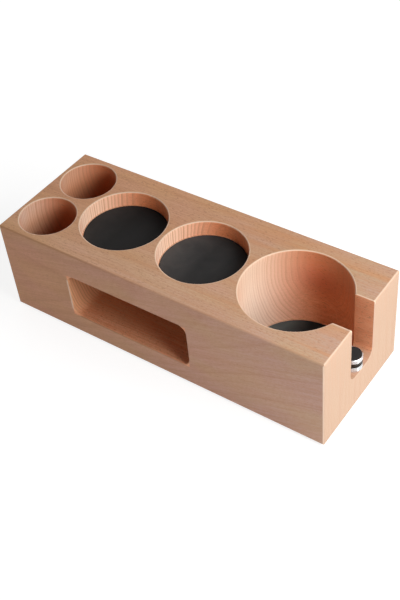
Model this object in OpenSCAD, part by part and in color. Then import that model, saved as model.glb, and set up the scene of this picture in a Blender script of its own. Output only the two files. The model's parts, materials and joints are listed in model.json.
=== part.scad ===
// Espresso tool caddy: one solid hardwood block with round recesses for a tamper, a distributor
// and a portafilter, two tool holes, a front pocket, and a screw-adjusted rest in the end slot.
// The block is centred on X and Y. Z is up, and the rubber feet stand on z = 0.

/* [Block] */
// Length of the wooden block
block_length = 300; // [288:1:330]
// Width of the wooden block, front to back
block_width = 110; // [104:1:130]
// Height of the wooden block
block_height = 86; // [82:1:100]
// Radius of the outer edges
edge_radius = 1.5; // [1:0.5:4]

/* [Portafilter well] */
// Diameter of the deep well
well_bore = 85; // [80:0.5:88]
// Depth from the top face to the well's ledge
well_depth = 73.5; // [60:0.5:76]
// Wood between the well and the slotted end
end_wall = 12.7; // [12.4:0.1:20]

/* [Round recesses] */
// Diameter of the tamper and distributor recesses
recess_bore = 71; // [62:0.5:71]
// Depth from the top face to a recess's ledge
recess_depth = 13; // [8:1:16]
// Wood between the well and the distributor recess
well_web = 5; // [4:0.5:8]
// Wood between the two recesses
recess_web = 5; // [4:0.5:8]

/* [Tool holes] */
// Diameter of the two tool holes
tool_bore = 46.5; // [30:0.5:47]
// Depth of the tool holes
tool_depth = 55; // [20:1:70]
// Distance between the two tool holes' centres
tool_spacing = 52; // [50:1:56]
// Wood between a tool hole and the tamper recess
tool_web = 5; // [4:0.2:8]

/* [Floor pads] */
// Thickness of the rubber pads on the floors
pad_thickness = 2; // [1:0.5:3]
// Width of the wooden ledge round each pad
pad_ledge = 0.5; // [0.5:0.1:2]
// Gap between a pad and the side of its seat
pad_clearance = 0.3; // [0.1:0.1:0.6]
// Rounding of a pad's upper edge
pad_edge = 0.4; // [0.2:0.1:0.6]

/* [Front pocket] */
// Width of the pocket in the front face
pocket_width = 115.4; // [80:0.2:120]
// Height of the pocket
pocket_height = 42; // [20:1:45]
// Depth of the pocket, front to back
pocket_depth = 85; // [40:1:90]
// Radius of the pocket's corners
pocket_corner = 7.5; // [3:0.5:9.5]
// Wood between the recess floors and the pocket's roof
pocket_roof = 10; // [6:1:14]

/* [End slot] */
// Width of the slot through the end wall
slot_width = 33; // [30:0.5:36]
// Height of the slot's floor above the block's underside
slot_floor = 30.8; // [28:0.2:38]
// Flat floor left beside the lock ring, up to the slot's round bottom corners
slot_floor_margin = 0.1; // [0.1:0.1:2]

/* [Rounded rims] */
// Rounding of the round openings' rims
hole_rim = 1; // [0.4:0.1:1.5]
// Rounding of the front pocket's rim
pocket_rim = 1.2; // [0.5:0.1:2]
// Rounding of the end slot's edges
slot_rim = 0.5; // [0.3:0.1:1.5]

/* [Rest's screw] */
// Outer diameter of the screw thread
thread_diameter = 5; // [4:0.5:5]
// Pitch of the screw thread
thread_pitch = 0.8; // [0.7:0.1:1]
// Depth of the thread's grooves
thread_depth = 0.45; // [0.3:0.05:0.5]
// Radial clearance between the thread's crests and what runs on it
thread_clearance = 0.05; // [0.02:0.01:0.08]
// Height that the rest can be raised by
rest_travel = 10; // [5:0.5:12]
// Length of screw that stays in the block at full height
thread_engagement = 8; // [6:0.5:9]
// Free depth under the screw's tip
tip_room = 1.5; // [0.5:0.5:2]

/* [Threaded insert] */
// Outer diameter of the insert
insert_diameter = 7; // [6.5:0.1:7]
// Length of the insert
insert_length = 12; // [10:0.5:15]
// Depth of the grooves round the insert
insert_groove = 0.25; // [0.1:0.05:0.4]
// Width of one of the insert's grooves
insert_groove_width = 1; // [0.5:0.1:1.5]
// Number of grooves round the insert
insert_grooves = 3; // [1:1:5]

/* [Rest's lock ring] */
// Diameter of the knurled lock ring
ring_diameter = 15.8; // [14:0.1:15.8]
// Height of the lock ring
ring_height = 4.5; // [3.5:0.1:6]
// Gap between the lock ring and the plane of the slotted end
ring_end_gap = 0.1; // [0:0.05:0.3]

/* [Rest's neck and cap] */
// Diameter of the smooth neck above the screw
neck_diameter = 15.4; // [13:0.1:15.4]
// Height of the smooth neck
neck_height = 4.3; // [3:0.1:6]
// Depth of the hollow turned round the neck
neck_waist = 0.35; // [0.1:0.05:0.6]
// Height of the flat band at each end of the neck
neck_band = 0.7; // [0.5:0.1:1]
// Diameter of the knurled cap
cap_diameter = 16; // [14.6:0.1:16]
// Height of the knurled cap
cap_height = 3.8; // [3.7:0.1:5]
// Width of the cap's rim round its pad
cap_rim = 0.8; // [0.5:0.1:1]
// Depth of the cap's seat for its pad
cap_seat_depth = 1.6; // [1.2:0.1:1.7]
// Thickness of the cap's pad
cap_pad_thickness = 1.3; // [0.8:0.1:1.6]
// Radial gap round the cap's pad
cap_pad_clearance = 0.2; // [0.1:0.05:0.3]
// Diameter of the spigot that the cap is pressed on
spigot_diameter = 9; // [6:0.5:10]
// Height of the spigot
spigot_height = 1.7; // [1.2:0.1:1.8]

/* [Knurls and fits] */
// Number of grooves round a knurled band
knurl_count = 40; // [24:1:48]
// Radius of one groove
knurl_groove = 0.45; // [0.3:0.05:0.5]
// Depth of one groove
knurl_depth = 0.3; // [0.2:0.05:0.3]
// Bevel on the edges of the metal parts
metal_bevel = 0.4; // [0.2:0.05:0.4]
// Radial clearance of pressed and glued parts
press_clearance = 0.02; // [0.01:0.01:0.05]

/* [Feet] */
// Diameter of a rubber foot
foot_diameter = 18; // [12:1:20]
// Height that a foot stands below the block
foot_stand = 2; // [1:0.5:4]
// Depth of a foot's seat in the block
foot_seat = 1; // [0.5:0.5:2]
// Gap between a foot and the side of its seat
foot_clearance = 0.2; // [0.1:0.1:0.4]
// Distance from a foot's centre to the block's sides
foot_inset = 18; // [14:1:26]
// Rounding of a foot's lower edge
foot_edge = 0.6; // [0.3:0.1:0.9]

/* [Hidden] */

// Each foot's name, and its sides of the block along X and Y
FEET = [
    ["foot_front_left", -1, -1],
    ["foot_front_right", 1, -1],
    ["foot_rear_left", -1, 1],
    ["foot_rear_right", 1, 1]
];

$fn = 96;
// How far a cutter reaches past the face that it opens
past = 1;

// Places along the block, from the slotted end to the other
end_x = block_length / 2;
rest_x = end_x - ring_end_gap - ring_diameter / 2;
well_x = end_x - end_wall - well_bore / 2;
distributor_x = well_x - well_bore / 2 - well_web - recess_bore / 2;
tamper_x = distributor_x - recess_web - recess_bore;
tool_reach = tool_bore / 2 + tool_web + recess_bore / 2;
tool_x = tamper_x - sqrt(pow(tool_reach, 2) - pow(tool_spacing / 2, 2));
pocket_x = (tamper_x + distributor_x) / 2;

// Heights above the surface that the feet stand on
top_z = foot_stand + block_height;
well_z = top_z - well_depth;
recess_z = top_z - recess_depth;
tool_z = top_z - tool_depth;
slot_z = foot_stand + slot_floor;
slot_corner = (slot_width - ring_diameter) / 2 - slot_floor_margin;
pocket_z = recess_z - pad_thickness - pocket_roof - pocket_height / 2;

// The adjustable rest, from the tip of its screw upwards
tip_z = slot_z - thread_engagement - rest_travel;
ring_top = slot_z + ring_height;
neck_top = ring_top + neck_height;
cap_top = neck_top + cap_height;
cap_seat_z = cap_top - cap_seat_depth;
cap_seat_radius = cap_diameter / 2 - cap_rim;
thread_radius = thread_diameter / 2;
running_radius = thread_radius + thread_clearance;
insert_radius = insert_diameter / 2;
spigot_radius = spigot_diameter / 2;

// Corner at the origin, open towards -x and +y, beyond a quarter circle that touches both faces.
module edge_waste(radius) {
    difference() {
        translate([-past, -radius]) square(radius + past);
        translate([radius, -radius]) circle(radius);
    }
}

// Rectangle centred on the origin, with round corners.
module rounded_rectangle(width, height, corner) {
    square([width - 2 * corner, height], center = true);
    square([width, height - 2 * corner], center = true);
    for (x = [-1, 1], y = [-1, 1])
        translate([x * (width / 2 - corner), y * (height / 2 - corner)]) circle(corner);
}

// Solid of revolution with bevelled outer edges that stands on z = 0.
module bevelled_disc(inner, outer, height, bevel) {
    rotate_extrude() polygon([
        [inner, 0], [outer - bevel, 0], [outer, bevel],
        [outer, height - bevel], [outer - bevel, height], [inner, height]
    ]);
}

// Disc that stands on z = 0, with a round upper edge.
module rounded_disc(radius, height, edge) {
    rotate_extrude() difference() {
        square([radius, height]);
        translate([radius, height]) mirror([1, 0]) edge_waste(edge);
    }
}

// Cutter that rounds the rim of a round hole whose mouth is at z = 0.
module round_rim(radius, rim) {
    rotate_extrude() translate([radius, 0]) edge_waste(rim);
}

// Cutter for a rounded rectangular hole with a rounded rim. Its mouth is at z = 0.
module rectangular_hole(width, height, depth, corner, rim) {
    translate([0, 0, -depth]) linear_extrude(depth + past) rounded_rectangle(width, height, corner);
    for (turn = [0:3]) {
        across = turn % 2 == 0 ? width : height;
        along = turn % 2 == 0 ? height : width;
        straight = along - 2 * corner;
        rotate(90 * turn) {
            translate([across / 2, straight / 2, 0]) rotate([90, 0, 0])
                linear_extrude(straight) edge_waste(rim);
            translate([across / 2 - corner, straight / 2, 0]) rotate_extrude(angle = 90)
                translate([corner, 0]) edge_waste(rim);
        }
    }
}

// Cutter for a round hole from the block's top, with a rounded rim.
module round_hole(x, y, floor_z, bore) {
    translate([x, y, floor_z]) cylinder(d = bore, h = top_z - floor_z + past);
    translate([x, y, top_z]) round_rim(bore / 2, hole_rim);
}

// Cutter for a round hole with a seat for a rubber pad below its ledge.
module padded_hole(x, ledge_z, bore) {
    round_hole(x, 0, ledge_z, bore);
    translate([x, 0, ledge_z - pad_thickness])
        cylinder(d = bore - 2 * pad_ledge, h = pad_thickness + past);
}

// Cutter for the slot from the well through the end wall, open at the top.
module end_slot() {
    translate([end_x, 0, top_z]) rotate([90, 0, 90])
        rectangular_hole(slot_width, 2 * (top_z - slot_z), end_x - well_x, slot_corner, slot_rim);
    for (side = [0, 1]) mirror([0, side, 0]) {
        translate([well_x, slot_width / 2, top_z]) rotate([90, 0, 90])
            linear_extrude(end_x - well_x + past) edge_waste(slot_rim);
        translate([0, 0, slot_z + slot_corner])
            linear_extrude(top_z - slot_z - slot_corner + past) slot_corner_waste();
    }
}

// The upright corner between the well and the slot, beyond a circle that touches both walls.
module slot_corner_waste() {
    wall = slot_width / 2;
    bore = well_bore / 2;
    round_y = wall + slot_rim;
    round_run = sqrt(pow(bore + slot_rim, 2) - pow(round_y, 2));
    share = bore / (bore + slot_rim);
    difference() {
        polygon([
            [well_x + round_run * share - past, wall],
            [well_x + round_run, wall],
            [well_x + round_run, round_y],
            [well_x + round_run * share, round_y * share]
        ]);
        translate([well_x + round_run, round_y]) circle(slot_rim);
    }
}

// Cutter for the insert's seat and the free depth under it.
module screw_hole() {
    translate([rest_x, 0, slot_z - insert_length])
        cylinder(r = insert_radius + press_clearance, h = insert_length + past);
    translate([rest_x, 0, tip_z - tip_room])
        cylinder(r = running_radius, h = slot_z - tip_z + tip_room);
}

// Cutter for the grooves of a knurled band that stands on z = 0.
module knurl(diameter, height) {
    for (turn = [0:knurl_count - 1]) rotate(turn * 360 / knurl_count)
        translate([diameter / 2 + knurl_groove - knurl_depth, 0, -past])
            cylinder(r = knurl_groove, h = height + 2 * past, $fn = 24);
}

// Outline of the screw, from its axis out and from its tip up.
function screw_outline(length) =
    let (root = thread_radius - thread_depth)
    let (turns = floor(length / thread_pitch))
    concat(
        [[0, 0]],
        [for (turn = [0:turns - 1]) each [
            [root, turn * thread_pitch],
            [root, (turn + 1 / 8) * thread_pitch],
            [thread_radius, (turn + 7 / 16) * thread_pitch],
            [thread_radius, (turn + 11 / 16) * thread_pitch]
        ]],
        [[root, turns * thread_pitch], [root, length], [0, length]]
    );

// The hardwood block with all its openings.
module body_block() {
    color("burlywood") difference() {
        intersection() {
            translate([0, 0, foot_stand])
                linear_extrude(block_height)
                    rounded_rectangle(block_length, block_width, edge_radius);
            translate([0, block_width / 2, foot_stand + block_height / 2]) rotate([90, 0, 0])
                linear_extrude(block_width)
                    rounded_rectangle(block_length, block_height, edge_radius);
            translate([-end_x, 0, foot_stand + block_height / 2]) rotate([90, 0, 90])
                linear_extrude(block_length)
                    rounded_rectangle(block_width, block_height, edge_radius);
        }
        for (side = [-1, 1]) round_hole(tool_x, side * tool_spacing / 2, tool_z, tool_bore);
        padded_hole(tamper_x, recess_z, recess_bore);
        padded_hole(distributor_x, recess_z, recess_bore);
        padded_hole(well_x, well_z, well_bore);
        end_slot();
        translate([pocket_x, -block_width / 2, pocket_z]) rotate([90, 0, 0])
            rectangular_hole(pocket_width, pocket_height, pocket_depth, pocket_corner, pocket_rim);
        screw_hole();
        for (foot = FEET) translate([foot_x(foot), foot_y(foot), foot_stand - past])
            cylinder(d = foot_diameter + 2 * foot_clearance, h = foot_seat + past);
    }
}

function foot_x(foot) = foot[1] * (block_length / 2 - foot_inset);
function foot_y(foot) = foot[2] * (block_width / 2 - foot_inset);

// Rubber disc on the floor of a padded hole, flush with the ledge round it.
module floor_pad(x, ledge_z, bore) {
    color("dimgray") translate([x, 0, ledge_z - pad_thickness])
        rounded_disc(bore / 2 - pad_ledge - pad_clearance, pad_thickness, pad_edge);
}

module tamper_recess_pad() {
    floor_pad(tamper_x, recess_z, recess_bore);
}

module distributor_recess_pad() {
    floor_pad(distributor_x, recess_z, recess_bore);
}

module portafilter_well_pad() {
    floor_pad(well_x, well_z, well_bore);
}

// Brass sleeve in the end wall that the rest screws into, grooved to hold in the wood.
module threaded_insert() {
    step = insert_length / (insert_grooves + 1);
    color("goldenrod") translate([rest_x, 0, slot_z - insert_length]) difference() {
        cylinder(r = insert_radius, h = insert_length);
        translate([0, 0, -past]) cylinder(r = running_radius, h = insert_length + 2 * past);
        for (groove = [1:insert_grooves])
            translate([0, 0, groove * step - insert_groove_width / 2]) difference() {
                cylinder(r = insert_radius + past, h = insert_groove_width);
                cylinder(r = insert_radius - insert_groove, h = insert_groove_width);
            }
    }
}

// Screw, smooth neck and spigot, turned in one piece.
module support_stud() {
    hollow = neck_height - 2 * neck_band;
    waist_radius = (pow(hollow / 2, 2) + pow(neck_waist, 2)) / (2 * neck_waist);
    color("dimgray") translate([rest_x, 0, 0]) {
        translate([0, 0, tip_z]) rotate_extrude() polygon(screw_outline(ring_top - tip_z));
        difference() {
            translate([0, 0, ring_top])
                bevelled_disc(0, neck_diameter / 2, neck_height, metal_bevel);
            translate([0, 0, ring_top + neck_height / 2]) rotate_extrude()
                translate([neck_diameter / 2 - neck_waist + waist_radius, 0]) circle(waist_radius);
        }
        translate([0, 0, neck_top]) cylinder(r = spigot_radius, h = spigot_height);
    }
}

// Knurled ring on the screw that locks the rest at its height.
module lock_ring() {
    color("silver") translate([rest_x, 0, slot_z]) difference() {
        bevelled_disc(running_radius, ring_diameter / 2, ring_height, metal_bevel);
        knurl(ring_diameter, ring_height);
    }
}

// Knurled cap pressed on the spigot, with a seat for its pad.
module support_cap() {
    color("silver") translate([rest_x, 0, 0]) difference() {
        translate([0, 0, neck_top]) bevelled_disc(0, cap_diameter / 2, cap_height, metal_bevel);
        translate([0, 0, neck_top - past])
            cylinder(r = spigot_radius + press_clearance, h = spigot_height + press_clearance + past);
        translate([0, 0, cap_seat_z]) cylinder(r = cap_seat_radius, h = cap_seat_depth + past);
        translate([0, 0, neck_top]) knurl(cap_diameter, cap_height);
    }
}

// Rubber disc that lies in the cap's seat and carries the portafilter's neck.
module cap_pad() {
    color("dimgray") translate([rest_x, 0, cap_seat_z])
        rounded_disc(cap_seat_radius - cap_pad_clearance, cap_pad_thickness, pad_edge);
}

// Rubber foot in its seat under the block, with a round lower edge.
module rubber_foot(foot) {
    height = foot_stand + foot_seat;
    color("dimgray") translate([foot_x(foot), foot_y(foot), height])
        mirror([0, 0, 1]) rounded_disc(foot_diameter / 2, height, foot_edge);
}

body_block();
tamper_recess_pad();
distributor_recess_pad();
portafilter_well_pad();
threaded_insert();
support_stud();
lock_ring();
support_cap();
cap_pad();
for (foot = FEET) rubber_foot(foot);
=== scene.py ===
"""Looks of the espresso tool caddy: the beech block, its rubber pads and feet, and the knurled rest.

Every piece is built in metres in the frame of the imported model. A name that ends in _MM holds
millimetres, and MM turns it into metres. Materials measure places in millimetres too.
"""

import json
import math

import bmesh
import bpy
from mathutils import Matrix, Vector


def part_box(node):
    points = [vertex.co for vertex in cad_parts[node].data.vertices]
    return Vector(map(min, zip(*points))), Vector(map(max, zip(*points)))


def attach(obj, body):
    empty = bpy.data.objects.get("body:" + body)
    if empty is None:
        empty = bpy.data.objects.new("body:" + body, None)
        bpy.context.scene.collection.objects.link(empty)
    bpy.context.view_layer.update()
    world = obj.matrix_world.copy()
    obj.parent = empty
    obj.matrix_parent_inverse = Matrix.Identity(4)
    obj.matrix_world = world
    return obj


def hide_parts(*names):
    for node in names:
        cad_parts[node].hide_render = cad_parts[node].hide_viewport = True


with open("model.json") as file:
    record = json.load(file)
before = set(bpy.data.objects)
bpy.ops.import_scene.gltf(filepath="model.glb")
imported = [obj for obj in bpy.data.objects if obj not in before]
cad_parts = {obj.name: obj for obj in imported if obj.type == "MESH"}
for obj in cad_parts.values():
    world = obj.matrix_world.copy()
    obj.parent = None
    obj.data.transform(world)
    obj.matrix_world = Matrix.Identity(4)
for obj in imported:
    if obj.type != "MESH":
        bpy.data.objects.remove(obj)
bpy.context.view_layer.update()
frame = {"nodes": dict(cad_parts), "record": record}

MM = 0.001

# The camera: where it stands, how it is turned, and its lens.
CAMERA_PLACE_MM = (385.610, -466.022, 608.597)
CAMERA_HEADING = math.radians(39.295)
CAMERA_DOWN_TILT = math.radians(43.706)
CAMERA_ROLL = math.radians(-6.380)
CAMERA_LENS_MM, CAMERA_SENSOR_MM = 62.37, 36
CAMERA_NEAREST, CAMERA_FARTHEST = 0.02, 50

# The lights: azimuth from +X towards +Y and elevation, in degrees as seen from the point that they
# are aimed at, then distance, width and height in metres, and power in watts.
LAMPS = {
    "key": (20, 30, 0.90, 0.40, 0.40, 2.88),
    "side": (-15, 28, 1.00, 0.38, 0.38, 2.57),
    "near": (-8, 39, 0.56, 0.25, 0.25, 1.47),
    "high": (12, 45, 1.00, 0.40, 0.40, 2.09),
    "front": (-80, 8, 1.40, 0.80, 0.50, 3.45),
    "back": (135, 17, 1.20, 0.60, 0.60, 2.8),
    "left": (166, 9, 1.40, 0.60, 0.50, 3.2),
}
LAMPS_AIMED_AT = (0, 0, 0.045)
AMBIENT = 0.02

# The floor: its size and the distances between which its glow rises, in metres.
FLOOR_SIZE = 12
FLOOR_ALBEDO, FLOOR_SHADE = 0.80, 0.30
FLOOR_GLOW_NEAR, FLOOR_GLOW_FAR = 0.84, 1.0
FLOOR_GLOW_REACH = (0.25, 0.90)

# The rubber discs and feet: sizes that their packed boxes don't give.
PAD_EDGE_MM, PAD_BEVEL_MM, PAD_DISH_MM = 0.45, 0.2, 0.06
PAD_DISH_SHARES = (0.97, 0.9, 0.75, 0.5, 0.25)
PAD_SEGMENTS = 144
FOOT_EDGE_MM, FOOT_TAPER_MM, FOOT_BEVEL_MM = 0.7, 0.25, 0.2
FOOT_DISH_MM, FOOT_DISH_SHARE = 0.35, 0.62
FOOT_DISH_SHARES = (0.2, 0.4, 0.55)
FOOT_SEGMENTS = 72

# The rest: sizes that its packed boxes don't give.
THREAD_RADIUS_MM, THREAD_DEPTH_MM = 2.5, 0.45
THREAD_PITCH_MM = 0.8
THREAD_CLEARANCE_MM = 0.05
THREAD_STEPS = 36
THREAD_OUTLINE = ((0.0, 0.0), (0.14, 0.0), (0.42, 1.0), (0.58, 1.0), (0.86, 0.0))
NECK_BAND_MM, NECK_WAIST_MM = 0.7, 0.35
NECK_STEPS = 8
SPIGOT_RADIUS_MM, SPIGOT_BEVEL_MM, SPIGOT_CLEARANCE_MM = 4.5, 0.2, 0.02
STUD_SEGMENTS = 72
RING_BORE_BEVEL_MM, RING_FACE_INSET_MM = 0.3, 0.1
RING_SHOULDER_MM, RING_SHOULDER_DROP_MM = 0.15, 0.05
CAP_WALL_MM, CAP_LIP_MM, CAP_LIP_BEVEL_MM = 0.8, 0.25, 0.1
KNURL_COUNT = 56
KNURL_ROWS = 3
KNURL_DEPTH_MM = 0.20
KNURL_LAND = 0.50
BEVEL_MM = 0.4

# Steps in the round edges' arcs, and the angles in degrees above which an edge stays sharp.
EDGE_STEPS, BEVEL_STEPS = 6, 4
RUBBER_SMOOTH, KNURL_SMOOTH, STUD_SMOOTH = 35, 25, 30


# ---------------------------------------------------------------- nodes


def rgb(red, green, blue):
    return (red, green, blue, 1.0)


class Nodes:
    """A node tree, with short calls that add and link its nodes."""

    def __init__(self, tree):
        self.nodes = tree.nodes
        self.links = tree.links

    def add(self, kind, inputs=None, **settings):
        """A node of that kind. inputs gives each socket a number, a colour or another node's socket."""
        node = self.nodes.new("ShaderNode" + kind)
        for key, value in settings.items():
            setattr(node, key, value)
        for key, value in (inputs or {}).items():
            self.feed(node.inputs[key], value)
        return node

    def feed(self, socket, value):
        if isinstance(value, bpy.types.NodeSocket):
            self.links.new(value, socket)
        else:
            socket.default_value = value

    def math(self, operation, *values):
        node = self.add("Math", operation=operation)
        for socket, value in zip(node.inputs, values):
            self.feed(socket, value)
        return node.outputs[0]

    def times(self, product, *others):
        """The product of two or more numbers."""
        for value in others:
            product = self.math("MULTIPLY", product, value)
        return product

    def largest(self, most, *others):
        for value in others:
            most = self.math("MAXIMUM", most, value)
        return most

    def remap(self, value, low, high, to_low=0.0, to_high=1.0):
        """Goes from one number to the other as the value goes from low to high, and stays there."""
        inputs = {"Value": value, "From Min": low, "From Max": high,
                  "To Min": to_low, "To Max": to_high}
        return self.add("MapRange", inputs).outputs["Result"]

    def between(self, factor, first, second):
        """A number that goes from the first to the second as the factor goes from 0 to 1."""
        span = self.math("SUBTRACT", second, first)
        return self.math("MULTIPLY_ADD", span, factor, first)

    def blend(self, factor, first, second, mode="MIX"):
        """Mixes the second colour into the first, or multiplies it in, as far as the factor says."""
        node = self.add("Mix", data_type="RGBA", blend_type=mode)
        self.feed(node.inputs["Factor"], factor)
        for name, value in (("A", first), ("B", second)):
            socket = [s for s in node.inputs if s.name == name and s.type == "RGBA"][0]
            self.feed(socket, value)
        return [s for s in node.outputs if s.type == "RGBA"][0]

    def parts(self, vector):
        """The X, Y and Z of a vector."""
        split = self.add("SeparateXYZ", {0: vector}).outputs
        return [split[name] for name in "XYZ"]

    def joined(self, x=0.0, y=0.0, z=0.0):
        """A vector from its X, Y and Z."""
        return self.add("CombineXYZ", {"X": x, "Y": y, "Z": z}).outputs[0]

    def distance(self, place, point):
        return self.add("VectorMath", {0: place, 1: point}, operation="DISTANCE").outputs["Value"]

    def stretched(self, vector, scale):
        return self.add("VectorMath", {0: vector, 1: scale}, operation="MULTIPLY").outputs[0]

    def noise(self, vector, scale=1.0, detail=2.0, roughness=0.5, distortion=0.0):
        inputs = {"Vector": vector, "Scale": scale, "Detail": detail, "Roughness": roughness,
                  "Distortion": distortion}
        return self.add("TexNoise", inputs).outputs["Fac"]


class Shader(Nodes):
    """One material's nodes, round its surface shader."""

    def __init__(self, name):
        self.material = bpy.data.materials.new(name)
        self.material.use_nodes = True
        super().__init__(self.material.node_tree)
        self.surface = self.nodes["Principled BSDF"]
        place = self.add("TexCoord").outputs["Object"]
        scaled = self.add("VectorMath", {0: place, "Scale": 1 / MM}, operation="SCALE")
        self.place = scaled.outputs[0]

    def bump(self, height, distance_mm, strength):
        node = self.add("Bump", {"Strength": strength, "Distance": distance_mm * MM, "Height": height})
        self.links.new(node.outputs["Normal"], self.surface.inputs["Normal"])

    def set(self, **values):
        """Sets the surface's own sockets, by their names with spaces as underscores."""
        for key, value in values.items():
            self.feed(self.surface.inputs[key.replace("_", " ")], value)
        return self.material


# ---------------------------------------------------------------- the beech

# The growth rings: circles round a pith that lies behind the block and drifts as it runs along it.
PITH_BEHIND_MM, PITH_HEIGHT_MM = 163.0, 76.0
PITH_DRIFT = 0.045
RING_STEP_MM = 2.3
SIDE_GRAIN_RISE = 0.28
# How the rings wander: a noise's scale along each axis, per millimetre, and its reach.
RING_WANDER = (((0.005, 0.016, 0.016), 7.0), ((0.018, 0.075, 0.075), 0.9))
# The ring lines' sets: the step between rings, the set's weight and how unevenly it is spaced.
RING_SETS = ((RING_STEP_MM, 0.75, 1.6), (RING_STEP_MM / 2.7, 0.25, 3.0))
# A ring's late wood darkens between the first two shares of its step and ends between the others.
RING_DARKENS, RING_ENDS = (0.30, 0.86), (0.90, 1.0)
RING_SHARPNESS = 1.6
RING_DEPTH_SPAN, RING_DEPTHS = (0.35, 0.65), (0.45, 1.15)

# The noises of the grain: scale along X, Y and Z per millimetre, detail and roughness.
GRAIN = {
    "broad": ((0.004, 0.05, 0.05), 2.0, 0.5),
    "patches": ((0.022, 0.045, 0.045), 1.0, 0.5),
    "golden": ((0.007, 0.13, 0.13), 2.0, 0.5),
    "streaks": ((0.014, 0.65, 0.65), 4.0, 0.6),
    "fibres": ((0.11, 2.6, 2.6), 3.0, 0.7),
    "mottle": ((0.45, 1.1, 1.1), 3.0, 0.75),
    "specks": ((0.42, 1.05, 1.05), 2.0, 0.6),
    "pores": ((0.2, 2.0, 2.0), 2.0, 0.7),
    "upright": ((0.40, 0.42, 0.016), 3.0, 0.6),
}
# The parts of a noise's values between which a layer sets in. NOISE_SPAN is the common one.
NOISE_SPAN, PATCH_SPAN, PORE_SPAN = (0.3, 0.7), (0.35, 0.65), (0.40, 0.70)
FLECK_SPAN, GOLDEN_SPAN, UPRIGHT_SPAN = (0.585, 0.685), (0.50, 0.66), (0.42, 0.66)
# How much each noise adds to the grain's darkness, and the sums between which that sets in.
GRAIN_WEIGHTS, GRAIN_SPAN = {"streaks": 0.50, "fibres": 0.35, "mottle": 0.65}, (-0.6, 0.6)

# How far each layer goes into the colour below it.
DARK_STRENGTH, DARK_SIDE_SHARE = 0.60, 0.75
GOLDEN_STRENGTH, PORE_STRENGTH, RIM_HIGHLIGHT_STRENGTH = 0.50, 0.16, 0.55
FRONT_STRIP_SHARE = 0.25
END_STRENGTH, END_POWER = 0.95, 1.9
LINE_ON_FACE, LINE_ON_END = 0.30, 0.16
LINE_IN_RECESS, LINE_IN_WELL = 0.90, 0.48
LINE_SIDE_SHARE, LINE_SIDE_WALL_SHARE = 0.8, 0.25
LINE_POCKET_SHARE, POCKET_END_SHARE = 0.35, 0.2
FLECK_ON_FACE, FLECK_ON_END, FLECK_SIDE_SHARE = 0.50, 0.08, 0.35
# Painted shade on the round edges: how dark it is at the front's tool-hole end and along the rear.
EDGE_SHADE_FRONT, EDGE_SHADE_REAR = 0.28, 0.40
FIBRE_HEIGHT, LINE_HEIGHT, FLECK_HEIGHT = 0.6, -0.25, -0.5

# Spans of a normal's X, Y or Z between which a layer sets in: 0 where the surface runs along that
# axis, 1 where it faces along it and -1 where it faces against it.
SIDE_LINES_FACING, SIDE_DARK_FACING, SIDE_FLECKS_FACING = (0.75, 0.97), (0.5, 0.9), (0.4, 0.9)
END_FLECKS_FACING, POCKET_END_FACING = (0.0, 0.7), (0.3, 0.8)
FRONT_WALL_FACING, UPRIGHT_WALL_FACING = (0.0, 0.35), (0.8, 0.3)
LEFT_END_FACING, NOT_SLOTTED_END_FACING = (0.0, -0.5), (0.3, 0.1)
ROUND_EDGE_FACING, REAR_EDGE_FACING = (0.985, 0.90), (-0.1, 0.1)
CORNER_STARTS_FACING, CORNER_ENDS_FACING = (0.08, 0.30), (0.95, 0.60)
FRONT_CORNER_FACING, TOP_CORNER_FACING = (-0.3, -0.7), (0.3, 0.7)

# The cavities that aren't round: the front pocket and the end slot.
POCKET_MIDDLE_MM, POCKET_HALF_MM = (-26.2, 42.0), (57.7, 21.0)
POCKET_BACK_MM, POCKET_BACK_ROOM_MM = 30.0, 0.5
SLOT_START_MM, SLOT_HALF_MM, SLOT_FLOOR_MM = 94.8, 16.5, 32.8

# Zones, each as the two places between which it sets in: first those outside a cavity's wall, then
# those along X, Y and Z.
HOLE_WALL_MM, POCKET_WALL_MM = (0.5, 0.05), (0.4, 0.0)
RIM_INNER_MM, RIM_OUTER_MM = (0.05, 0.3), (1.3, 0.9)
FADE_MM, FADE_WANDER_MM = (-90.0, 210.0), 120.0
WELL_ZONE_MM, TOOL_ZONE_MM, SLOT_ZONE_MM = (48.0, 51.0), (-99.8, -100.8), (128.0, 137.0)
BEHIND_END_MM = (149.55, 149.45)
FRONT_EDGE_MM = (-60.0, 60.0)
FRONT_STRIP_MM, FRONT_STRIP_FADES_MM = (0.0, -42.0), (10.0, 60.0)
REAR_STRIP_MM = (5.0, 42.0)
REAR_TOOL_HOLE_MM = (-2.0, 2.0)
POCKET_DEPTHS_MM = (-50.0, -32.0)
ABOVE_FEET_MM, NEAR_TOP_MM = (4.0, 6.0), (85.0, 86.5)
WELL_MIDDLE_MM, WELL_FOOT_MM = (80.0, 48.0), (50.0, 28.0)
TOOL_WALL_FOOT_MM, TOOL_END_FOOT_MM = (80.0, 67.0), (82.0, 68.0)
SLOTTED_END_FOOT_MM = (65.0, 20.0)

# The golden band on the top: it drifts to the back from the first X to the second. Then how far
# from its middle it sets in, and between which places along X it starts.
BAND_X_MM, BAND_Y_MM = (20.0, 110.0), (41.0, 53.0)
BAND_EDGE_MM, BAND_STARTS_MM = (5.0, 1.0), (5.0, 40.0)
BAND_STRENGTH = 0.12
# A darker, redder patch of painted shade on the well's rear wall: its middle, and the distances between
# which it sets in.
WELL_SHADE_PLACE_MM, WELL_SHADE_REACH_MM = (87.4, 41.9, 62.0), (26.0, 6.0)
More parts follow.
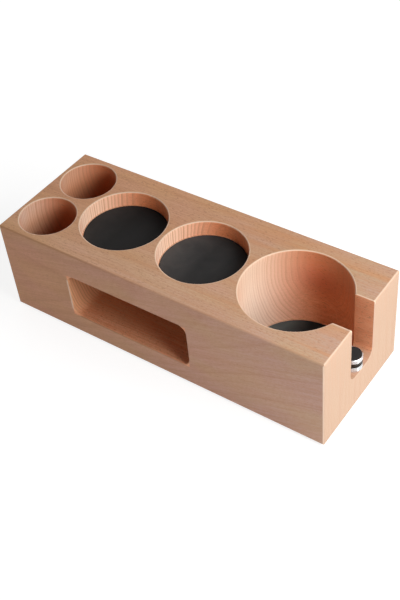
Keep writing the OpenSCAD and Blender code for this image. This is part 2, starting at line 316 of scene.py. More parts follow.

# Colours of the outer faces at the tool holes' end and at the slotted end; the change between them is
# painted light.
SIDE_LEFT, SIDE_RIGHT = rgb(0.690, 0.355, 0.208), rgb(0.592, 0.380, 0.286)
TOP_LEFT, TOP_RIGHT = rgb(0.717, 0.358, 0.187), rgb(0.478, 0.331, 0.238)
YELLOW_TINT, ROSY_TINT = rgb(1.00, 1.02, 0.94), rgb(1.01, 0.98, 1.05)
FRONT_STRIP_TINT, REAR_STRIP_TINT = rgb(1.02, 1.11, 1.16), rgb(1.00, 0.99, 0.94)
GOLDEN, DARK_GRAIN = rgb(0.560, 0.255, 0.110), rgb(0.490, 0.230, 0.120)
# Colours of the cavities' walls that don't face the lamps: painted shade in a deep, saturated red.
RECESS_WALL, SLOT_WALL = rgb(0.920, 0.325, 0.142), rgb(0.810, 0.388, 0.216)
WELL_WALL_TOP, WELL_WALL_MIDDLE = rgb(0.672, 0.254, 0.113), rgb(0.950, 0.388, 0.188)
WELL_WALL_FOOT, WELL_SHADE_PATCH = rgb(0.980, 0.430, 0.225), rgb(0.690, 0.205, 0.098)
TOOL_WALL_TOP, TOOL_WALL_FOOT = rgb(0.660, 0.250, 0.120), rgb(0.540, 0.188, 0.078)
POCKET_MOUTH, POCKET_INNER = rgb(0.945, 0.495, 0.285), rgb(0.680, 0.370, 0.190)
DARK_WALL_GRAIN = rgb(0.700, 0.200, 0.075)
# Colours of the end faces' end grain, and the painted light on the cavities' walls that face the lamps.
RECESS_END, POCKET_END = rgb(0.895, 0.615, 0.445), rgb(0.930, 0.486, 0.260)
WELL_END, WELL_END_FOOT = rgb(0.745, 0.578, 0.438), rgb(0.825, 0.680, 0.545)
TOOL_END_TOP, TOOL_END_FOOT = rgb(0.665, 0.450, 0.335), rgb(0.620, 0.345, 0.215)
# Tints of the lit walls: darker and redder in the rear tool hole; paler and less red on walls that face
# the front, painted light.
REAR_TOOL_TINT, FRONT_WALL_TINT = rgb(0.93, 0.78, 0.68), rgb(1.00, 1.13, 1.22)
SLOTTED_END_TOP, SLOTTED_END_FOOT = rgb(0.500, 0.345, 0.241), rgb(0.545, 0.378, 0.264)
SLOTTED_END_STREAK, LEFT_END = rgb(0.520, 0.335, 0.228), rgb(0.620, 0.385, 0.245)
PORE = rgb(0.300, 0.150, 0.080)
# Colours of the lines and flecks, the painted shade on round edges, and the painted highlights on
# corners and rims.
RING_LINE, FLECK = rgb(0.420, 0.190, 0.095), rgb(0.280, 0.115, 0.050)
EDGE_SHADE, RIM_HIGHLIGHT = rgb(0.240, 0.096, 0.046), rgb(0.860, 0.640, 0.470)
UPRIGHT_CORNER_HIGHLIGHT, TOP_CORNER_HIGHLIGHT = rgb(0.740, 0.545, 0.410), rgb(0.590, 0.430, 0.315)


class Beech(Shader):
    """Steamed beech: growth rings, fine grain along X, short ray flecks and paler end grain, with
    painted light and shade.
    """

    def __init__(self):
        super().__init__("beech")
        self.x, self.y, self.z = self.parts(self.place)
        facing = self.parts(self.add("TexCoord").outputs["Normal"])
        self.facing_x, self.facing_y, _ = facing
        self.ends, self.sides, self.upward = (self.math("ABSOLUTE", part) for part in facing)
        self.find_cavities()
        self.lay_grain()

    def layer(self, name, vector):
        """One of the grain's noises."""
        scale, detail, roughness = GRAIN[name]
        return self.noise(self.stretched(vector, scale), detail=detail, roughness=roughness)

    # ---- where a point lies

    def beyond(self, value, centre, half):
        """How far a value lies past half a width on either side of a centre."""
        off = self.math("ABSOLUTE", self.math("SUBTRACT", value, centre))
        return self.math("SUBTRACT", off, half)

    def past_holes(self):
        """How far a point lies outside the nearest round hole or the end slot."""
        nearest = self.largest(self.beyond(self.y, 0.0, SLOT_HALF_MM),
                               self.math("SUBTRACT", SLOT_FLOOR_MM, self.z),
                               self.math("SUBTRACT", SLOT_START_MM, self.x))
        flat = self.joined(self.x, self.y)
        for mount in frame["record"]["mounts"]:
            if mount["kind"] == "flat_face":
                continue
            axis = [value / MM for value in mount["pos_m"][:2]] + [0.0]
            past = self.math("SUBTRACT", self.distance(flat, axis), mount["dims"]["r_mm"])
            nearest = self.math("MINIMUM", nearest, past)
        return nearest

    def past_pocket(self):
        """How far a point lies outside the front pocket."""
        return self.largest(self.beyond(self.x, POCKET_MIDDLE_MM[0], POCKET_HALF_MM[0]),
                            self.beyond(self.z, POCKET_MIDDLE_MM[1], POCKET_HALF_MM[1]),
                            self.math("SUBTRACT", self.y, POCKET_BACK_MM + POCKET_BACK_ROOM_MM))

    def find_cavities(self):
        """Shares from 0 to 1 that say which cavity, if any, a point of the surface lines."""
        self.hole = self.past_holes()
        above_feet = self.remap(self.z, *ABOVE_FEET_MM)
        self.in_hole = self.times(self.remap(self.hole, *HOLE_WALL_MM), above_feet,
                                  self.remap(self.x, *BEHIND_END_MM))
        self.in_pocket = self.times(self.remap(self.past_pocket(), *POCKET_WALL_MM), above_feet)
        self.inside = self.math("MAXIMUM", self.in_hole, self.in_pocket)
        self.outside = self.math("SUBTRACT", 1.0, self.inside)
        self.on_sides = self.times(self.sides, self.outside)
        self.in_well = self.remap(self.x, *WELL_ZONE_MM)
        self.in_tool_hole = self.remap(self.x, *TOOL_ZONE_MM)
        # Lower in the well, where its walls are painted paler against their shade.
        self.deep = self.times(self.in_well, self.remap(self.z, *WELL_MIDDLE_MM))

    # ---- the figure

    def ring_distance(self):
        """Distance from the pith in millimetres, with the gentle wander of real growth."""
        moved = self.leaning
        for scale, reach in RING_WANDER:
            wander = self.add("TexNoise", {"Vector": self.stretched(self.leaning, scale),
                                           "Scale": 1.0, "Detail": 1.0, "Roughness": 0.4})
            shift = self.add("VectorMath", {0: wander.outputs["Color"], 1: (-0.5, -0.5, -0.5)},
                             operation="ADD").outputs[0]
            moved = self.add("VectorMath", {0: shift, 1: (0.0, reach, reach), 2: moved},
                             operation="MULTIPLY_ADD").outputs[0]
        x, y, z = self.parts(moved)
        pith_y = self.math("MULTIPLY_ADD", x, PITH_DRIFT, PITH_BEHIND_MM)
        across = self.math("SUBTRACT", pith_y, y)
        up = self.math("SUBTRACT", z, PITH_HEIGHT_MM)
        squares = self.math("ADD", self.times(across, across), self.times(up, up))
        return self.math("SQRT", squares)

    def ring_lines(self):
        """0 in the early wood to 1 in the thin dark late wood of each ring, unevenly spaced."""
        radius = self.ring_distance()
        along = self.joined(radius)
        total = 0.0
        for step, weight, spread in RING_SETS:
            uneven = self.noise(along, scale=0.16)
            phase = self.math("MULTIPLY_ADD", uneven, spread, self.math("DIVIDE", radius, step))
            share = self.math("FRACT", phase)
            rise = self.math("POWER", self.remap(share, *RING_DARKENS), RING_SHARPNESS)
            fall = self.remap(share, *RING_ENDS, 1.0, 0.0)
            total = self.math("ADD", total, self.times(rise, fall, weight))
        depth = self.noise(along, scale=0.45, detail=1.0)
        return self.times(total, self.remap(depth, *RING_DEPTH_SPAN, *RING_DEPTHS))

    def lay_grain(self):
        """The lines, flecks and darker grain. On the sides they climb towards the slotted end."""
        rise = self.times(self.x, self.on_sides, SIDE_GRAIN_RISE)
        self.leaning = self.joined(self.x, self.y, self.math("SUBTRACT", self.z, rise))
        side_share = self.between(self.inside, LINE_SIDE_SHARE, LINE_SIDE_WALL_SHARE)
        side_share = self.remap(self.sides, *SIDE_LINES_FACING, 1.0, side_share)
        self.lines = self.times(self.ring_lines(), side_share)
        self.flecks = self.remap(self.layer("specks", self.leaning), *FLECK_SPAN)
        noises = {name: self.layer(name, self.leaning) for name in GRAIN_WEIGHTS}
        self.streaks, self.fibres = noises["streaks"], noises["fibres"]
        grain = 0.0
        for name, weight in GRAIN_WEIGHTS.items():
            share = self.remap(noises[name], *NOISE_SPAN, -weight, weight)
            grain = self.math("ADD", grain, share)
        self.dark = self.remap(grain, *GRAIN_SPAN, 0.0, DARK_STRENGTH)

    # ---- colours

    def golden_streaks(self):
        """Golden streaks on the top, thickest in a band that drifts to the back past the well."""
        band_y = self.remap(self.x, *BAND_X_MM, *BAND_Y_MM)
        off = self.math("ABSOLUTE", self.math("SUBTRACT", self.y, band_y))
        band = self.times(self.remap(off, *BAND_EDGE_MM), self.remap(self.x, *BAND_STARTS_MM),
                          BAND_STRENGTH)
        golden = self.math("ADD", self.layer("golden", self.leaning), band)
        return self.times(self.remap(golden, *GOLDEN_SPAN, 0.0, GOLDEN_STRENGTH), self.upward)

    def face(self):
        """The block's top and long sides, paler and less red towards the slotted end: painted light."""
        broad = self.layer("broad", self.place)
        fade = self.remap(self.math("MULTIPLY_ADD", broad, FADE_WANDER_MM, self.x), *FADE_MM)
        colour = self.blend(fade, self.blend(self.upward, SIDE_LEFT, TOP_LEFT),
                            self.blend(self.upward, SIDE_RIGHT, TOP_RIGHT))
        patches = self.remap(self.layer("patches", self.place), *PATCH_SPAN)
        colour = self.blend(1.0, colour, self.blend(patches, YELLOW_TINT, ROSY_TINT), mode="MULTIPLY")
        colour = self.blend(self.golden_streaks(), colour, GOLDEN)
        dark = self.times(self.dark, self.remap(self.on_sides, *SIDE_DARK_FACING, 1.0, DARK_SIDE_SHARE))
        colour = self.blend(dark, colour, DARK_GRAIN)
        fading = self.remap(self.x, *FRONT_STRIP_FADES_MM, 1.0, FRONT_STRIP_SHARE)
        front_strip = self.times(self.remap(self.y, *FRONT_STRIP_MM), fading, self.upward)
        colour = self.blend(front_strip, colour, FRONT_STRIP_TINT, mode="MULTIPLY")
        rear_strip = self.times(self.remap(self.y, *REAR_STRIP_MM), self.upward)
        return self.blend(rear_strip, colour, REAR_STRIP_TINT, mode="MULTIPLY")

    def wall(self):
        """Painted shade: a deep red on the cavities' walls that don't face the lamps, and in the pocket.
        """
        colour = self.blend(self.in_well, RECESS_WALL, WELL_WALL_TOP)
        # Paler in the well's middle and foot: painted light against its shade.
        colour = self.blend(self.deep, colour, WELL_WALL_MIDDLE)
        foot = self.times(self.in_well, self.remap(self.z, *WELL_FOOT_MM))
        colour = self.blend(foot, colour, WELL_WALL_FOOT)
        # Darker low in the tool holes: painted shade.
        tool_wall = self.blend(self.remap(self.z, *TOOL_WALL_FOOT_MM), TOOL_WALL_TOP, TOOL_WALL_FOOT)
        colour = self.blend(self.in_tool_hole, colour, tool_wall)
        colour = self.blend(self.remap(self.x, *SLOT_ZONE_MM), colour, SLOT_WALL)
        # Darker deep in the pocket: painted shade.
        pocket = self.blend(self.remap(self.y, *POCKET_DEPTHS_MM), POCKET_MOUTH, POCKET_INNER)
        colour = self.blend(self.in_pocket, colour, pocket)
        # A patch of painted shade on the well's rear right wall.
        from_well_shade = self.distance(self.place, WELL_SHADE_PLACE_MM)
        well_shade = self.times(self.remap(from_well_shade, *WELL_SHADE_REACH_MM), self.in_well)
        colour = self.blend(well_shade, colour, WELL_SHADE_PATCH)
        return self.blend(self.dark, colour, DARK_WALL_GRAIN)

    def lit_inner_end(self):
        """Painted light: pale colours on the cavities' walls that face the lamps at the slotted end."""
        colour = self.blend(self.in_well, RECESS_END, WELL_END)
        # Paler low in the well: painted light against its shade.
        colour = self.blend(self.deep, colour, WELL_END_FOOT)
        # Darker low in the tool holes: painted shade.
        tool_end = self.blend(self.remap(self.z, *TOOL_END_FOOT_MM), TOOL_END_TOP, TOOL_END_FOOT)
        in_rear = self.remap(self.y, *REAR_TOOL_HOLE_MM)
        tool_end = self.blend(in_rear, tool_end, REAR_TOOL_TINT, mode="MULTIPLY")
        colour = self.blend(self.in_tool_hole, colour, tool_end)
        # Paler and less red on walls that face the front, outside the well: painted light.
        front_wall = self.times(self.remap(self.facing_y, *FRONT_WALL_FACING),
                                self.math("SUBTRACT", 1.0, self.in_well))
        colour = self.blend(front_wall, colour, FRONT_WALL_TINT, mode="MULTIPLY")
        return self.blend(self.in_pocket, colour, POCKET_END)

    def outer_end(self):
        """The block's two end faces, with faint upright streaks."""
        colour = self.blend(self.remap(self.z, *SLOTTED_END_FOOT_MM), SLOTTED_END_TOP, SLOTTED_END_FOOT)
        streaks = self.remap(self.layer("upright", self.place), *UPRIGHT_SPAN)
        colour = self.blend(streaks, colour, SLOTTED_END_STREAK)
        return self.blend(self.remap(self.facing_x, *LEFT_END_FACING), colour, LEFT_END)

    def plain_wood(self):
        """The wood by the way it faces and the cavity it lines, before its lines and flecks; inside, the
        way it faces gives painted light and shade.
        """
        upright_walls = self.times(self.in_hole, self.remap(self.upward, *UPRIGHT_WALL_FACING))
        colour = self.blend(self.largest(self.in_pocket, upright_walls), self.face(), self.wall())
        ends = self.blend(self.inside, self.outer_end(), self.lit_inner_end())
        pores = self.remap(self.layer("pores", self.place), *PORE_SPAN, 0.0, PORE_STRENGTH)
        ends = self.blend(pores, ends, PORE)
        # Inside a cavity only the walls that face the lamps at +X take the pale colours: painted light.
        towards_slot = self.largest(self.facing_x, 0.0)
        facing_ends_and_lamps = self.between(self.inside, self.ends, towards_slot)
        end_grain_and_lit_walls = self.math("POWER", facing_ends_and_lamps, END_POWER)
        return self.blend(self.times(end_grain_and_lit_walls, END_STRENGTH), colour, ends)

    def with_lines(self, colour):
        """Draws the growth rings, strongest in the recesses, and the ray flecks."""
        in_cavity = self.remap(self.x, *WELL_ZONE_MM, LINE_IN_RECESS, LINE_IN_WELL)
        depth = self.largest(self.between(self.ends, LINE_ON_FACE, LINE_ON_END),
                             self.times(self.inside, in_cavity))
        along_grain = self.remap(self.ends, *POCKET_END_FACING, 1.0, POCKET_END_SHARE)
        pocket_wall = self.times(self.in_pocket, along_grain)
        depth = self.times(depth, self.between(pocket_wall, 1.0, LINE_POCKET_SHARE))
        colour = self.blend(self.times(self.lines, depth), colour, RING_LINE)
        depth = self.times(self.remap(self.ends, *END_FLECKS_FACING, FLECK_ON_FACE, FLECK_ON_END),
                           self.remap(self.on_sides, *SIDE_FLECKS_FACING, 1.0, FLECK_SIDE_SHARE))
        return self.blend(self.times(self.flecks, depth), colour, FLECK)

    def with_painted_edge_shade(self, colour):
        """Painted shade: darkens the block's round edges all along the rear and towards the tool holes'
        end on the front, but not those of the slotted end.
        """
        squarest = self.largest(self.ends, self.sides, self.upward)
        rounded = self.times(self.remap(squarest, *ROUND_EDGE_FACING), self.outside,
                             self.remap(self.facing_x, *NOT_SLOTTED_END_FACING))
        on_front = self.remap(self.x, *FRONT_EDGE_MM, EDGE_SHADE_FRONT, 0.0)
        edge_shade = self.between(self.remap(self.facing_y, *REAR_EDGE_FACING), on_front, EDGE_SHADE_REAR)
        return self.blend(self.times(rounded, edge_shade), colour, EDGE_SHADE)

    def with_painted_highlights(self, colour):
        """Painted highlights on the slotted end's front and top edges and on the rims of the holes."""
        turning = self.times(self.remap(self.facing_x, *CORNER_STARTS_FACING),
                             self.remap(self.facing_x, *CORNER_ENDS_FACING), self.outside)
        upright = self.times(turning, self.remap(self.facing_y, *FRONT_CORNER_FACING))
        colour = self.blend(upright, colour, UPRIGHT_CORNER_HIGHLIGHT)
        level = self.times(turning, self.remap(self.upward, *TOP_CORNER_FACING))
        colour = self.blend(level, colour, TOP_CORNER_HIGHLIGHT)
        rim_highlight = self.times(self.remap(self.hole, *RIM_INNER_MM), self.remap(self.hole, *RIM_OUTER_MM),
                         self.remap(self.z, *NEAR_TOP_MM), RIM_HIGHLIGHT_STRENGTH)
        return self.blend(rim_highlight, colour, RIM_HIGHLIGHT)

    def relief(self):
        """The surface's height: raised fibres, sunk late wood and flecks."""
        sunk = self.math("ADD", self.times(self.lines, LINE_HEIGHT),
                         self.times(self.flecks, FLECK_HEIGHT))
        return self.math("ADD", self.times(self.fibres, FIBRE_HEIGHT), sunk)

    def finish(self):
        colour = self.with_lines(self.plain_wood())
        colour = self.with_painted_highlights(self.with_painted_edge_shade(colour))
        self.bump(self.relief(), distance_mm=0.05, strength=0.5)
        rough = self.remap(self.streaks, *NOISE_SPAN, 0.48, 0.60)
        return self.set(Base_Color=colour, Roughness=rough, Specular_IOR_Level=0.22)


# ---------------------------------------------------------------- the other materials

# The pads carry a painted sheen, paler towards the tool holes' end: between which places along X each
# one's colour changes, and the two shares of the rubber's colour there. The well's pad is less red as
# well.
DISTRIBUTOR_PAD_MM, DISTRIBUTOR_PAD_SHARES = (10.0, -16.0), (1.0, 2.3)
TAMPER_PAD_MM, TAMPER_PAD_SHARES = (-70.0, -92.0), (0.48, 1.15)
WELL_PAD_MM, WELL_PAD_SHARES = (68.0, 86.0), (3.5, 0.7)
WELL_PAD_RED = 0.80
BETWEEN_PADS_MM, RECESS_HEIGHTS_MM = (-24.5, -27.5), (66.0, 67.0)
WELL_PAD_BELOW_MM, WELL_PAD_ABOVE_MM = (30.0, 25.0), (5.0, 8.0)
RUBBER_DARK, RUBBER_SMEARED = rgb(0.0220, 0.0220, 0.0225), rgb(0.0330, 0.0320, 0.0315)
RUBBER_DUST = rgb(0.09, 0.085, 0.08)
CHROME_DARK, CHROME_LIGHT = rgb(0.72, 0.72, 0.73), rgb(0.84, 0.84, 0.85)
STEEL_DARK, STEEL_LIGHT = rgb(0.026, 0.019, 0.015), rgb(0.048, 0.037, 0.030)
BRASS_BRIGHT, BRASS_TARNISHED = rgb(0.620, 0.430, 0.160), rgb(0.360, 0.220, 0.080)


def with_painted_sheen(shader, colour):
    """The rubber's colour with the pads' painted sheen, paler towards the tool holes' end."""
    x, _, z = shader.parts(shader.place)
    on_tamper_pad = shader.remap(x, *BETWEEN_PADS_MM)
    share = shader.between(on_tamper_pad,
                           shader.remap(x, *DISTRIBUTOR_PAD_MM, *DISTRIBUTOR_PAD_SHARES),
                           shader.remap(x, *TAMPER_PAD_MM, *TAMPER_PAD_SHARES))
    share = shader.between(shader.remap(z, *RECESS_HEIGHTS_MM), 1.0, share)
    colour = shader.blend(1.0, colour, shader.joined(share, share, share), mode="MULTIPLY")
    share = shader.remap(x, *WELL_PAD_MM, *WELL_PAD_SHARES)
    tint = shader.joined(shader.times(share, WELL_PAD_RED), share, share)
    on_well_pad = shader.times(shader.remap(z, *WELL_PAD_BELOW_MM), shader.remap(z, *WELL_PAD_ABOVE_MM))
    return shader.blend(on_well_pad, colour, tint, mode="MULTIPLY")


def black_rubber():
    """Matt black rubber with a fine moulded tooth, faint wiped smears, a little dust and a painted sheen
    on the pads.
    """
    shader = Shader("black rubber")
    tooth = shader.noise(shader.place, scale=5.0, roughness=0.6)
    smears = shader.noise(shader.place, scale=0.06, detail=3.0, distortion=0.6)
    colour = shader.blend(shader.remap(smears, *NOISE_SPAN), RUBBER_DARK, RUBBER_SMEARED)
    colour = with_painted_sheen(shader, colour)
    dust = shader.noise(shader.place, scale=1.7, detail=4.0, roughness=0.7)
    colour = shader.blend(shader.remap(dust, 0.68, 0.78, 0.0, 0.15), colour, RUBBER_DUST)
    shader.bump(tooth, distance_mm=0.03, strength=0.35)
    rough = shader.remap(smears, *NOISE_SPAN, 0.50, 0.62)
    return shader.set(Base_Color=colour, Roughness=rough, Specular_IOR_Level=0.06)


def chrome():
    """Polished chrome with fine rubbed marks, duller where it has been handled."""
    shader = Shader("polished chrome")
    rubbed = shader.noise(shader.stretched(shader.place, (1.2, 1.2, 6.0)), detail=4.0, roughness=0.7)
    colour = shader.blend(shader.remap(rubbed, *NOISE_SPAN), CHROME_DARK, CHROME_LIGHT)
    shader.bump(rubbed, distance_mm=0.01, strength=0.25)
    rough = shader.remap(rubbed, 0.3, 0.75, 0.16, 0.30)
    return shader.set(Base_Color=colour, Metallic=1.0, Roughness=rough)


def dark_steel():
    """Dark polished steel with faint marks of the lathe round it."""
    shader = Shader("dark steel")
    lathe = shader.noise(shader.stretched(shader.place, (0.25, 0.25, 9.0)), detail=3.0, roughness=0.6)
    colour = shader.blend(shader.remap(lathe, *NOISE_SPAN), STEEL_DARK, STEEL_LIGHT)
    shader.bump(lathe, distance_mm=0.01, strength=0.3)
    rough = shader.remap(lathe, *NOISE_SPAN, 0.14, 0.26)
    return shader.set(Base_Color=colour, Metallic=1.0, Roughness=rough)


def brass():
    """Turned brass with a little tarnish."""
    shader = Shader("brass")
    lathe = shader.noise(shader.stretched(shader.place, (0.4, 0.4, 8.0)), detail=3.0, roughness=0.6)
    tarnish = shader.noise(shader.place, scale=0.5, detail=3.0)
    colour = shader.blend(shader.remap(tarnish, 0.45, 0.7), BRASS_BRIGHT, BRASS_TARNISHED)
    shader.bump(lathe, distance_mm=0.01, strength=0.3)
    rough = shader.remap(lathe, *NOISE_SPAN, 0.24, 0.38)
    return shader.set(Base_Color=colour, Metallic=1.0, Roughness=rough)


# ---------------------------------------------------------------- meshes


def ring_of(bm, radius, height, count, centre):
    """Vertices evenly round a vertical axis."""
    made = []
    for i in range(count):
        angle = 2 * math.pi * i / count
        made.append(bm.verts.new((centre.x + radius * math.cos(angle),
                                  centre.y + radius * math.sin(angle), height)))
    return made


def skin(bm, lower, upper):
    """Quads between two rings of the same count."""
    count = len(lower)
    for i in range(count):
        j = (i + 1) % count
        bm.faces.new((lower[i], lower[j], upper[j], upper[i]))


def close(bm, ring, centre, height, upward):
    """A fan that closes a ring at its axis."""
    hub = bm.verts.new((centre.x, centre.y, height))
    count = len(ring)
    for i in range(count):
        j = (i + 1) % count
        bm.faces.new((ring[i], ring[j], hub) if upward else (ring[j], ring[i], hub))


def turned(bm, profile, centre, count):
    """Skins a profile of (radius, height) round the axis. A radius of 0 at an end closes it."""
    first, last = profile[0], profile[-1]
    inner = [point for point in profile if point[0] > 0]
    rings = [ring_of(bm, radius, height, count, centre) for radius, height in inner]
    for lower, upper in zip(rings, rings[1:]):
        skin(bm, lower, upper)
    if first[0] == 0:
        close(bm, rings[0], centre, first[1], upward=False)
    if last[0] == 0:
        close(bm, rings[-1], centre, last[1], upward=True)


def arc(centre, radius, start, end, steps):
    """Points of a circular arc in a profile, from one angle in degrees to another."""
    made = []
    for i in range(steps + 1):
        angle = math.radians(start + (end - start) * i / steps)
        made.append((centre[0] + radius * math.cos(angle), centre[1] + radius * math.sin(angle)))
    return made


def finished(bm, name, material, body, node, smooth_angle):
    """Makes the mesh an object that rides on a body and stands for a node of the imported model."""
    bmesh.ops.remove_doubles(bm, verts=bm.verts, dist=1e-7)
    bmesh.ops.recalc_face_normals(bm, faces=bm.faces)
    mesh = bpy.data.meshes.new(name)
    bm.to_mesh(mesh)
    bm.free()
    mesh.materials.append(material)
    piece = bpy.data.objects.new(name, mesh)
    bpy.context.scene.collection.objects.link(piece)
    mesh.shade_smooth()
    mesh.set_sharp_from_angle(angle=math.radians(smooth_angle))
    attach(piece, body)
    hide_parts(node)


def measured(node):
    """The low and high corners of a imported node's box, its middle and its radius."""
    low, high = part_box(node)
    return low, high, (low + high) / 2, (high.x - low.x) / 2


# ---------------------------------------------------------------- rubber pieces


def recess_pad(node, material, body="block"):
    """A moulded rubber disc: round upper edge, face dished by a hair, small bevel below."""
    low, high, centre, radius = measured(node)
    edge, bevel, dish = PAD_EDGE_MM * MM, PAD_BEVEL_MM * MM, PAD_DISH_MM * MM
    profile = [(0, low.z), (radius * 0.5, low.z), (radius - bevel, low.z), (radius, low.z + bevel)]
    profile += arc((radius - edge, high.z - edge), edge, 0, 90, EDGE_STEPS)
    for share in PAD_DISH_SHARES:
        profile.append((radius * share, high.z - dish * (1 - share ** 2)))
    profile.append((0, high.z - dish))
    bm = bmesh.new()
    turned(bm, profile, centre, PAD_SEGMENTS)
    name = node.replace("_pad", "_rubber_disc")
    finished(bm, name, material, body, node, RUBBER_SMOOTH)


def rubber_foot(node, material):
    """A moulded foot: flat top in its seat, slightly tapered side, round lower edge, dished sole."""
    low, high, centre, radius = measured(node)
    edge, taper, bevel = FOOT_EDGE_MM * MM, FOOT_TAPER_MM * MM, FOOT_BEVEL_MM * MM
    sole, dish = low.z, FOOT_DISH_MM * MM
    profile = [(0, sole + dish)]
    for share in FOOT_DISH_SHARES:
        hollow = dish * math.cos(share / FOOT_DISH_SHARE * math.pi / 2)
        profile.append((radius * share, sole + hollow))
    profile.append((radius * FOOT_DISH_SHARE, sole))
    profile += arc((radius - taper - edge, sole + edge), edge, -90, 0, EDGE_STEPS)
    profile += [(radius, high.z - bevel), (radius - bevel, high.z), (0, high.z)]
    bm = bmesh.new()
    turned(bm, profile, centre, FOOT_SEGMENTS)
    finished(bm, "rubber_" + node, material, "block", node, RUBBER_SMOOTH)


# ---------------------------------------------------------------- the rest


def knurled_band(bm, radius, low, high, centre):
    """A band of diamond knurling: flat-topped pyramids between two crossing sets of grooves.

    Gives the grooves' radius.
    """
    height = (high - low) / KNURL_ROWS
    groove = radius - KNURL_DEPTH_MM * MM
    top, left, bottom, right = (0, 0.5), (-0.5, 0), (0, -0.5), (0.5, 0)
    last_row = 2 * KNURL_ROWS

    def point(around, up, share):
        """around and up count diamonds. share is 0 in a groove and 1 on a land."""
        angle = 2 * math.pi * around / KNURL_COUNT
        out = groove + (radius - groove) * share
        return bm.verts.new((centre.x + out * math.cos(angle), centre.y + out * math.sin(angle),
                             low + up * height))

    for half_row in range(last_row + 1):
        corners = {0: [right, top, left], last_row: [left, bottom, right]}
        corners = corners.get(half_row, [right, top, left, bottom])
        for i in range(KNURL_COUNT):
            around, up = i + 0.5 * (half_row % 2), half_row / 2
            outer = [point(around + a, up + b, 0) for a, b in corners]
            land = [point(around + a * KNURL_LAND, up + b * KNURL_LAND, 1) for a, b in corners]
            bm.faces.new(land)
            for k in range(len(corners)):
                n = (k + 1) % len(corners)
                bm.faces.new((outer[k], outer[n], land[n], land[k]))
    return groove


def knurled_ring(material):
    """The lock ring: a knurled band between bevels, bored for the screw."""
    low, high, centre, radius = measured("lock_ring")
    bore = (THREAD_RADIUS_MM + THREAD_CLEARANCE_MM) * MM
    mouth = bore + RING_BORE_BEVEL_MM * MM
    bevel = BEVEL_MM * MM
    face = radius - bevel - RING_FACE_INSET_MM * MM
    shoulder = (face + RING_SHOULDER_MM * MM, high.z - RING_SHOULDER_DROP_MM * MM)
    bm = bmesh.new()
    groove = knurled_band(bm, radius, low.z + bevel, high.z - bevel, centre)
    above = [(groove, high.z - bevel), shoulder, (face, high.z), (mouth, high.z), (bore, high.z - bevel)]
    below = [(bore, low.z + bevel), (mouth, low.z), (face, low.z), (groove, low.z + bevel)]
    inside = [(bore, low.z + bevel), (bore, high.z - bevel)]
    for profile in (above, below, inside):
        turned(bm, profile, centre, 2 * KNURL_COUNT)
    finished(bm, "knurled_lock_ring", material, "lock_ring", "lock_ring", KNURL_SMOOTH)


def knurled_cap(material):
    """The cap: a knurled band, a polished rim and a seat for the rubber disc."""
    low, high, centre, radius = measured("support_cap")
    seat_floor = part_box("cap_pad")[0].z
    stud_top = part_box("support_stud")[1].z
    spigot_hole = (SPIGOT_RADIUS_MM + SPIGOT_CLEARANCE_MM) * MM
    bevel, lip_bevel = BEVEL_MM * MM, CAP_LIP_BEVEL_MM * MM
    seat = radius - CAP_WALL_MM * MM
    bm = bmesh.new()
    groove = knurled_band(bm, radius, low.z + bevel, high.z - bevel, centre)
    above = [(groove, high.z - bevel), (seat + CAP_LIP_MM * MM, high.z), (seat + lip_bevel, high.z),
             (seat, high.z - lip_bevel), (seat, seat_floor), (0, seat_floor)]
    below = [(0, stud_top), (spigot_hole, stud_top), (spigot_hole, low.z), (radius - bevel, low.z),
             (groove, low.z + bevel)]
    for profile in (above, below):
        turned(bm, profile, centre, 2 * KNURL_COUNT)
    finished(bm, "knurled_cap", material, "rest_screw", "support_cap", KNURL_SMOOTH)


def threaded_stud(material):
    """The screw with its true helical thread, the waisted neck and the spigot, in one piece."""
    low, high, centre, neck = measured("support_stud")
    neck_low, neck_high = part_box("lock_ring")[1].z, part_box("support_cap")[0].z
    root = (THREAD_RADIUS_MM - THREAD_DEPTH_MM) * MM
    bevel, band, waist = BEVEL_MM * MM, NECK_BAND_MM * MM, NECK_WAIST_MM * MM
    spigot, spigot_bevel = SPIGOT_RADIUS_MM * MM, SPIGOT_BEVEL_MM * MM
    profile = [(root, neck_low), (neck - bevel, neck_low)]
    profile += arc((neck - bevel, neck_low + bevel), bevel, -90, 0, BEVEL_STEPS)
    span = neck_high - neck_low - 2 * band
    for i in range(NECK_STEPS + 1):
        share = i / NECK_STEPS
        profile.append((neck - waist * math.sin(math.pi * share), neck_low + band + span * share))
    profile += arc((neck - bevel, neck_high - bevel), bevel, 0, 90, BEVEL_STEPS)
    profile += [(spigot, neck_high), (spigot, high.z - spigot_bevel), (spigot - spigot_bevel, high.z),
                (0, high.z)]
    bm = bmesh.new()
    turned(bm, profile, centre, STUD_SEGMENTS)
    helix(bm, centre, root, low.z, neck_low)
    finished(bm, "threaded_stud", material, "rest_screw", "support_stud", STUD_SMOOTH)


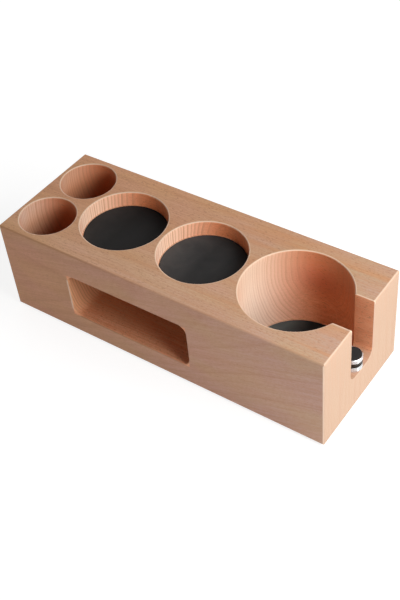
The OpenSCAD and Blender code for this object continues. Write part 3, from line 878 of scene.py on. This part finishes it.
def helix(bm, centre, root, low, high):
    """A right-hand screw thread with flat crests that fades out at both ends."""
    pitch = THREAD_PITCH_MM * MM
    crest = THREAD_RADIUS_MM * MM
    turns = int((high - low) / pitch)

    def column(step):
        """The thread's outline at one angle, from the tip of the screw to the neck."""
        angle = 2 * math.pi * step / THREAD_STEPS
        points = []
        for turn in range(-1, turns + 1):
            for share, height in THREAD_OUTLINE:
                z = low + (turn + share + step / THREAD_STEPS) * pitch
                fade = min(1.0, max(0.0, (z - low) / pitch), max(0.0, (high - z) / pitch))
                reach = root + (crest - root) * height * fade
                points.append((centre.x + reach * math.cos(angle),
                               centre.y + reach * math.sin(angle), min(max(z, low), high)))
        return points

    columns = [[bm.verts.new(p) for p in column(step)] for step in range(THREAD_STEPS)]
    for step in range(THREAD_STEPS):
        here, there = columns[step], columns[(step + 1) % THREAD_STEPS]
        climbed = len(THREAD_OUTLINE) if step == THREAD_STEPS - 1 else 0
        for k in range(len(here) - 1 - climbed):
            bm.faces.new((here[k], there[k + climbed], there[k + climbed + 1], here[k + 1]))
    hub = bm.verts.new((centre.x, centre.y, low))
    for step in range(THREAD_STEPS):
        bm.faces.new((columns[step][0], columns[(step + 1) % THREAD_STEPS][0], hub))


# ---------------------------------------------------------------- stage


def camera():
    """The photograph's view."""
    data = bpy.data.cameras.new("camera")
    data.lens, data.sensor_width = CAMERA_LENS_MM, CAMERA_SENSOR_MM
    data.clip_start, data.clip_end = CAMERA_NEAREST, CAMERA_FARTHEST
    item = bpy.data.objects.new("camera", data)
    bpy.context.scene.collection.objects.link(item)
    turn = (Matrix.Rotation(CAMERA_HEADING, 4, "Z")
            @ Matrix.Rotation(math.pi / 2 - CAMERA_DOWN_TILT, 4, "X")
            @ Matrix.Rotation(CAMERA_ROLL, 4, "Z"))
    item.matrix_world = Matrix.Translation(Vector(CAMERA_PLACE_MM) * MM) @ turn
    bpy.context.scene.camera = item


def softbox(name, azimuth, elevation, distance, width, height, power):
    """A rectangular lamp aimed at the block."""
    azimuth, elevation = math.radians(azimuth), math.radians(elevation)
    out = Vector((math.cos(azimuth) * math.cos(elevation), math.sin(azimuth) * math.cos(elevation),
                  math.sin(elevation)))
    data = bpy.data.lights.new(name, "AREA")
    data.shape, data.size, data.size_y, data.energy = "RECTANGLE", width, height, power
    item = bpy.data.objects.new(name, data)
    bpy.context.scene.collection.objects.link(item)
    item.location = Vector(LAMPS_AIMED_AT) + out * distance
    item.rotation_euler = (-out).to_track_quat("-Z", "Y").to_euler()


def seen_rays(tree):
    """1 for the rays that show the background: the camera's, and those in metal and glass."""
    path = tree.add("LightPath").outputs
    return tree.largest(path["Is Camera Ray"], path["Is Glossy Ray"], path["Is Transmission Ray"])


def surroundings():
    """A world that is white to the eye and a low, even fill to the surfaces."""
    world = bpy.data.worlds.new("studio")
    bpy.context.scene.world = world
    world.use_nodes = True
    tree = Nodes(world.node_tree)
    back = tree.nodes["Background"].inputs
    tree.feed(back["Color"], rgb(1, 1, 1))
    tree.feed(back["Strength"], tree.between(seen_rays(tree), AMBIENT, 1.0))


def floor_material():
    """White to the eye, with the object's soft shadow. To the object it is plain pale paper."""
    material = bpy.data.materials.new("white floor")
    material.use_nodes = True
    material.node_tree.nodes.clear()
    tree = Nodes(material.node_tree)
    paper = tree.add("BsdfDiffuse", {"Color": rgb(FLOOR_ALBEDO, FLOOR_ALBEDO, FLOOR_ALBEDO)})
    shaded = tree.add("BsdfDiffuse", {"Color": rgb(FLOOR_SHADE, FLOOR_SHADE, FLOOR_SHADE)})
    away = tree.add("VectorMath", {0: tree.add("TexCoord").outputs["Object"]}, operation="LENGTH")
    level = tree.remap(away.outputs["Value"], *FLOOR_GLOW_REACH, FLOOR_GLOW_NEAR, FLOOR_GLOW_FAR)
    glow = tree.add("Emission", {"Strength": level})
    shown = tree.add("AddShader", {0: shaded.outputs[0], 1: glow.outputs[0]})
    choice = tree.add("MixShader", {"Fac": seen_rays(tree), 1: paper.outputs[0], 2: shown.outputs[0]})
    tree.add("OutputMaterial", {"Surface": choice.outputs[0]})
    return material


def floor():
    bpy.ops.mesh.primitive_plane_add(size=FLOOR_SIZE)
    item = bpy.context.object
    item.name = "floor"
    item.data.materials.append(floor_material())


# ---------------------------------------------------------------- the scene


def repaint(node, material):
    """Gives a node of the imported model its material."""
    item = frame["nodes"][node]
    item.data.materials.clear()
    item.data.materials.append(material)


camera()
surroundings()
floor()
for lamp, setting in LAMPS.items():
    softbox(lamp, *setting)

rubber = black_rubber()
bright = chrome()
repaint("body_block", Beech().finish())
repaint("threaded_insert", brass())
for pad in ("tamper_recess_pad", "distributor_recess_pad", "portafilter_well_pad"):
    recess_pad(pad, rubber)
recess_pad("cap_pad", rubber, "rest_pad")
for end in ("front", "rear"):
    for side in ("left", "right"):
        rubber_foot(f"foot_{end}_{side}", rubber)
knurled_ring(bright)
knurled_cap(bright)
threaded_stud(dark_steel())

bpy.context.scene.view_settings.view_transform = "Standard"
